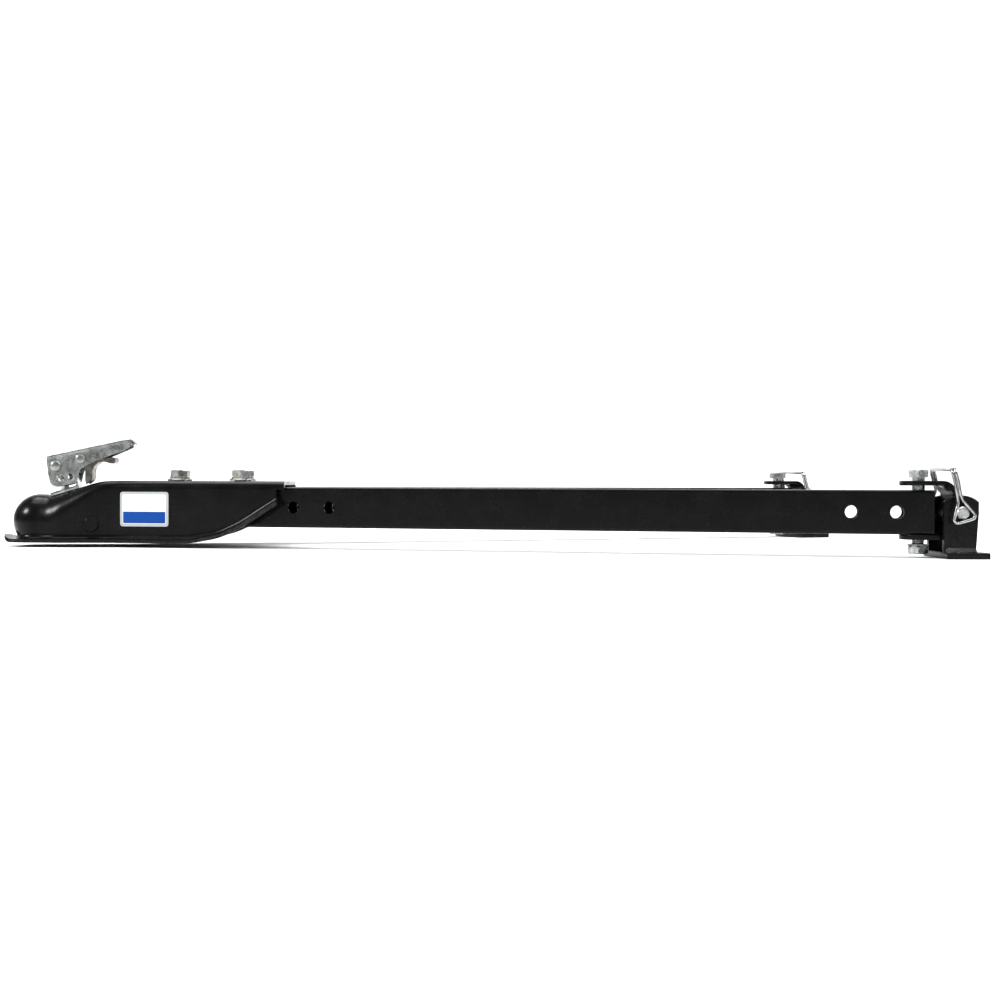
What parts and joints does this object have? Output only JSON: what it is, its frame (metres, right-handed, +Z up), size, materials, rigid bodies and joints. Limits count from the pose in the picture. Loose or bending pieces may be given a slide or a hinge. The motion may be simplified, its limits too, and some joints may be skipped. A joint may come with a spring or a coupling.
{
  "type": "adjustable tow bar",
  "caption": "A-frame car tow bar: 2 inch ball coupler with lever latch, two hinged tube arms, swivelling yokes and pinned base brackets.",
  "frame": {"origin": "centre of the ball socket", "axes": "+X from the coupler back to the base brackets, +Z up, +Y to the far arm; the arms lie either side of the XZ plane"},
  "size_m": [1.034, 0.5881, 0.1221],
  "materials": {
    "black_coat": "satin black powder coat over pressed and welded steel",
    "zinc": "bright zinc plating, slightly blotched",
    "zinc_yellow": "dull zinc plating with a faint warm tint",
    "spring_steel": "drawn spring wire, zinc plated",
    "cast_jaw": "forged steel, oiled",
    "label_film": "satin film with a plain coloured band"
  },
  "bodies": {
    "coupler": {"coupler_body": "black_coat", "clamp_pivot_pin": "black_coat", "latch_saddle": "zinc", "rating_label": "label_film", "pivot_bolts": "zinc", "pivot_flat_washers": "zinc", "pivot_lock_washers": "zinc_yellow", "pivot_spacers": "zinc", "pivot_nuts": "zinc"},
    "stem": {"latch_stem": "zinc", "stem_washer": "zinc", "stem_nut": "zinc", "clamp_spring": "spring_steel", "lever_rivet": "zinc"},
    "lever": {"latch_lever": "zinc", "trigger_rivet": "zinc", "trigger_spring": "spring_steel"},
    "trigger": {"latch_trigger": "zinc"},
    "clamp": {"ball_clamp": "cast_jaw"},
    "near_arm": {"near_arm_tube": "black_coat", "near_lock_bolt": "zinc", "near_lock_washers": "zinc_yellow", "near_lock_nut": "zinc", "near_end_bolt": "zinc", "near_end_nut": "zinc"},
    "near_yoke": {"near_yoke": "black_coat", "near_yoke_sleeve": "black_coat"},
    "near_bracket": {"near_base_plate": "black_coat", "near_bracket_ears": "black_coat", "near_bracket_welds": "black_coat"},
    "near_pin": {"near_hitch_pin": "zinc"},
    "near_bail": {"near_bail": "spring_steel"},
    "far_arm": {"far_arm_tube": "black_coat", "far_lock_bolt": "zinc", "far_lock_washers": "zinc_yellow", "far_lock_nut": "zinc", "far_end_bolt": "zinc", "far_end_nut": "zinc"},
    "far_yoke": {"far_yoke": "black_coat", "far_yoke_sleeve": "black_coat"},
    "far_bracket": {"far_base_plate": "black_coat", "far_bracket_ears": "black_coat", "far_bracket_welds": "black_coat"},
    "far_pin": {"far_hitch_pin": "zinc"},
    "far_bail": {"far_bail": "spring_steel"}
  },
  "joints": [
    {"name": "lever_open", "type": "hinge", "parent": "stem", "child": "lever", "pos_m": [0.0194, 0, 0.0616], "axis": [0, -1, 0], "range_deg": [0, 80]},
    {"name": "stem_draw", "type": "slide", "parent": "coupler", "child": "stem", "axis": [0.2913, 0, -0.9566], "range_m": [0, 0.0056], "deforming": ["clamp_spring"]},
    {"name": "clamp_swing", "type": "hinge", "parent": "coupler", "child": "clamp", "pos_m": [0.0635, 0, -0.0035], "axis": [0, -1, 0], "range_deg": [0, 9]},
    {"name": "trigger_squeeze", "type": "hinge", "parent": "lever", "child": "trigger", "pos_m": [0.0468, 0, 0.0696], "axis": [0, -1, 0], "range_deg": [0, 12], "stiffness_Nm_per_rad": 0.6, "springref_deg": -17.19},
    {"name": "near_arm_swing", "type": "hinge", "parent": "coupler", "child": "near_arm", "pos_m": [0.156, -0.022, 0.01657], "axis": [0, 0, 1], "range_deg": [-1, 11.5]},
    {"name": "near_yoke_swivel", "type": "hinge", "parent": "near_arm", "child": "near_yoke", "pos_m": [0.92737, -0.25049, 0.01657], "axis": [0, 0, 1], "range_deg": [-65.5, 38.5]},
    {"name": "near_bracket_tilt", "type": "hinge", "parent": "near_yoke", "child": "near_bracket", "pos_m": [0.96232, -0.25232, 0.01657], "axis": [-0.0523, -0.9986, 0], "range_deg": [0, 100]},
    {"name": "near_pin_turn", "type": "hinge", "parent": "near_yoke", "child": "near_pin", "pos_m": [0.96232, -0.25232, 0.01657], "axis": [-0.0523, -0.9986, 0], "range_deg": [-80, 12]},
    {"name": "near_bail_swing", "type": "hinge", "parent": "near_pin", "child": "near_bail", "pos_m": [0.96379, -0.22436, 0.01657], "axis": [-0.9646, 0.0506, -0.2588], "range_deg": [0, 100]},
    {"name": "far_arm_swing", "type": "hinge", "parent": "coupler", "child": "far_arm", "pos_m": [0.156, 0.022, 0.01657], "axis": [0, 0, -1], "range_deg": [-1, 11.5]},
    {"name": "far_yoke_swivel", "type": "hinge", "parent": "far_arm", "child": "far_yoke", "pos_m": [0.92737, 0.25049, 0.01657], "axis": [0, 0, -1], "range_deg": [-54, 50]},
    {"name": "far_bracket_tilt", "type": "hinge", "parent": "far_yoke", "child": "far_bracket", "pos_m": [0.96126, 0.25925, 0.01657], "axis": [0.2504, -0.9681, 0], "range_deg": [0, 100]},
    {"name": "far_pin_turn", "type": "hinge", "parent": "far_yoke", "child": "far_pin", "pos_m": [0.96126, 0.25925, 0.01657], "axis": [0.2504, -0.9681, 0], "range_deg": [-80, 12]},
    {"name": "far_bail_swing", "type": "hinge", "parent": "far_pin", "child": "far_bail", "pos_m": [0.96827, 0.23215, 0.01657], "axis": [0.9352, 0.2418, 0.2588], "range_deg": [0, 100]}
  ],
  "couplings": [
    {"joint": "stem_draw", "follows": "lever_open", "m_per_rad": 0.004},
    {"joint": "clamp_swing", "follows": "lever_open", "ratio": 0.11}
  ]
}
